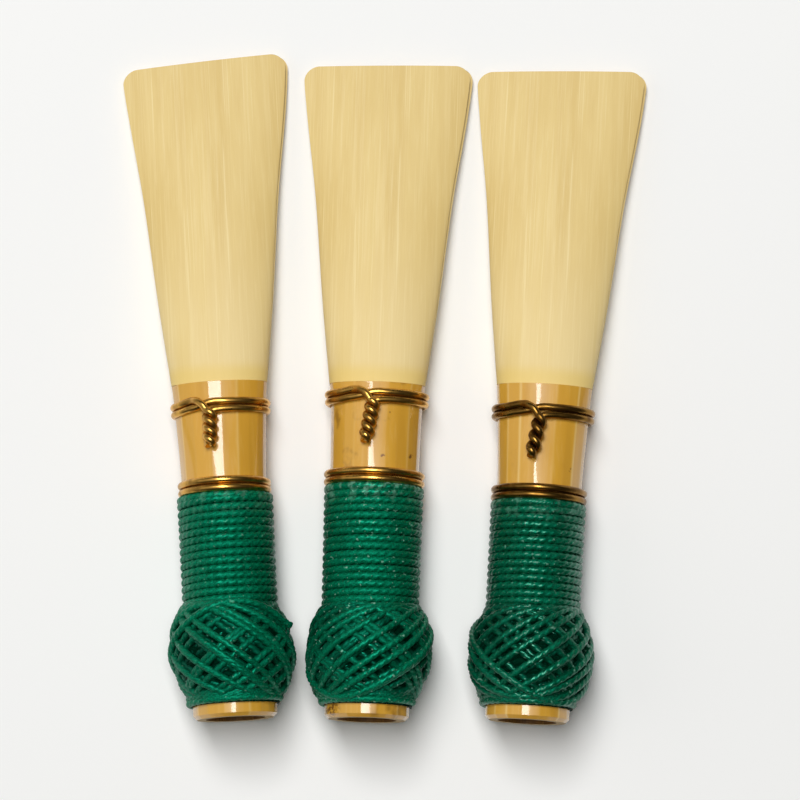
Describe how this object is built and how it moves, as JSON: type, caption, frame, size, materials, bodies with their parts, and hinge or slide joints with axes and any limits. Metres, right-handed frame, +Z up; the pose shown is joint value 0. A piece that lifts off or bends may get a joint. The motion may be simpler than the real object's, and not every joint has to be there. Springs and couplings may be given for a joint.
{
  "type": "bassoon reed set",
  "caption": "Bassoon double reeds lying side by side: fan-shaped cane blades, brass wires, green thread wrapping with a ball, and a round bored butt.",
  "frame": {"origin": "centre of the bottom of the whole set's bounding box, on the surface the reeds lie on", "axes": "+Y from the butts towards the blade tips, +X across the row of reeds, +Z up out of the surface"},
  "size_m": [0.0458, 0.0586, 0.0116],
  "materials": {
    "cane_bark": "glossy golden bark with fine lengthwise scoring",
    "scraped_cane": "matt pale straw, fine lengthwise grain",
    "soft_brass": "drawn soft brass, lightly tarnished",
    "green_thread": "plied emerald thread sealed with clear glue"
  },
  "bodies": {
    "middle_reed": {"middle_upper_tube": "cane_bark", "middle_lower_tube": "cane_bark", "middle_first_wire": "soft_brass", "middle_second_wire": "soft_brass", "middle_third_wire": "soft_brass", "middle_thread_wrap": "green_thread", "middle_thread_ball": "green_thread"},
    "middle_upper_blade": {"middle_upper_blade": "scraped_cane"},
    "middle_lower_blade": {"middle_lower_blade": "scraped_cane"},
    "left_reed": {"left_upper_tube": "cane_bark", "left_lower_tube": "cane_bark", "left_first_wire": "soft_brass", "left_second_wire": "soft_brass", "left_third_wire": "soft_brass", "left_thread_wrap": "green_thread", "left_thread_ball": "green_thread"},
    "left_upper_blade": {"left_upper_blade": "scraped_cane"},
    "left_lower_blade": {"left_lower_blade": "scraped_cane"},
    "right_reed": {"right_upper_tube": "cane_bark", "right_lower_tube": "cane_bark", "right_first_wire": "soft_brass", "right_second_wire": "soft_brass", "right_third_wire": "soft_brass", "right_thread_wrap": "green_thread", "right_thread_ball": "green_thread"},
    "right_upper_blade": {"right_upper_blade": "scraped_cane"},
    "right_lower_blade": {"right_lower_blade": "scraped_cane"}
  },
  "joints": [
    {"name": "left_reed_lift", "type": "slide", "parent": "middle_reed", "child": "left_reed", "axis": [0, 0, 1], "range_m": [0, 0.03]},
    {"name": "right_reed_lift", "type": "slide", "parent": "middle_reed", "child": "right_reed", "axis": [0, 0, 1], "range_m": [0, 0.03]},
    {"name": "left_upper_blade_close", "type": "hinge", "parent": "left_reed", "child": "left_upper_blade", "pos_m": [-0.01434, 0.00019, 0.00344], "axis": [-0.9985, -0.0541, 0], "range_deg": [0, 0.45], "stiffness_Nm_per_rad": 0.3},
    {"name": "left_lower_blade_close", "type": "hinge", "parent": "left_reed", "child": "left_lower_blade", "pos_m": [-0.01434, 0.00019, 0.00344], "axis": [0.9985, 0.0541, 0], "range_deg": [0, 0.45], "stiffness_Nm_per_rad": 0.3},
    {"name": "middle_upper_blade_close", "type": "hinge", "parent": "middle_reed", "child": "middle_upper_blade", "pos_m": [-0.00065, 0.00011, 0.00352], "axis": [-0.9994, 0.0297, -0.0174], "range_deg": [0, 0.45], "stiffness_Nm_per_rad": 0.3},
    {"name": "middle_lower_blade_close", "type": "hinge", "parent": "middle_reed", "child": "middle_lower_blade", "pos_m": [-0.00065, 0.00011, 0.00352], "axis": [0.9994, -0.0297, 0.0174], "range_deg": [0, 0.45], "stiffness_Nm_per_rad": 0.3},
    {"name": "right_upper_blade_close", "type": "hinge", "parent": "right_reed", "child": "right_upper_blade", "pos_m": [0.01385, -0.00007, 0.00342], "axis": [-0.9981, 0.055, -0.0261], "range_deg": [0, 0.45], "stiffness_Nm_per_rad": 0.3},
    {"name": "right_lower_blade_close", "type": "hinge", "parent": "right_reed", "child": "right_lower_blade", "pos_m": [0.01385, -0.00007, 0.00342], "axis": [0.9981, -0.055, 0.0261], "range_deg": [0, 0.45], "stiffness_Nm_per_rad": 0.3}
  ],
  "couplings": [
    {"joint": "left_lower_blade_close", "follows": "left_upper_blade_close", "ratio": 1},
    {"joint": "middle_lower_blade_close", "follows": "middle_upper_blade_close", "ratio": 1},
    {"joint": "right_lower_blade_close", "follows": "right_upper_blade_close", "ratio": 1}
  ]
}
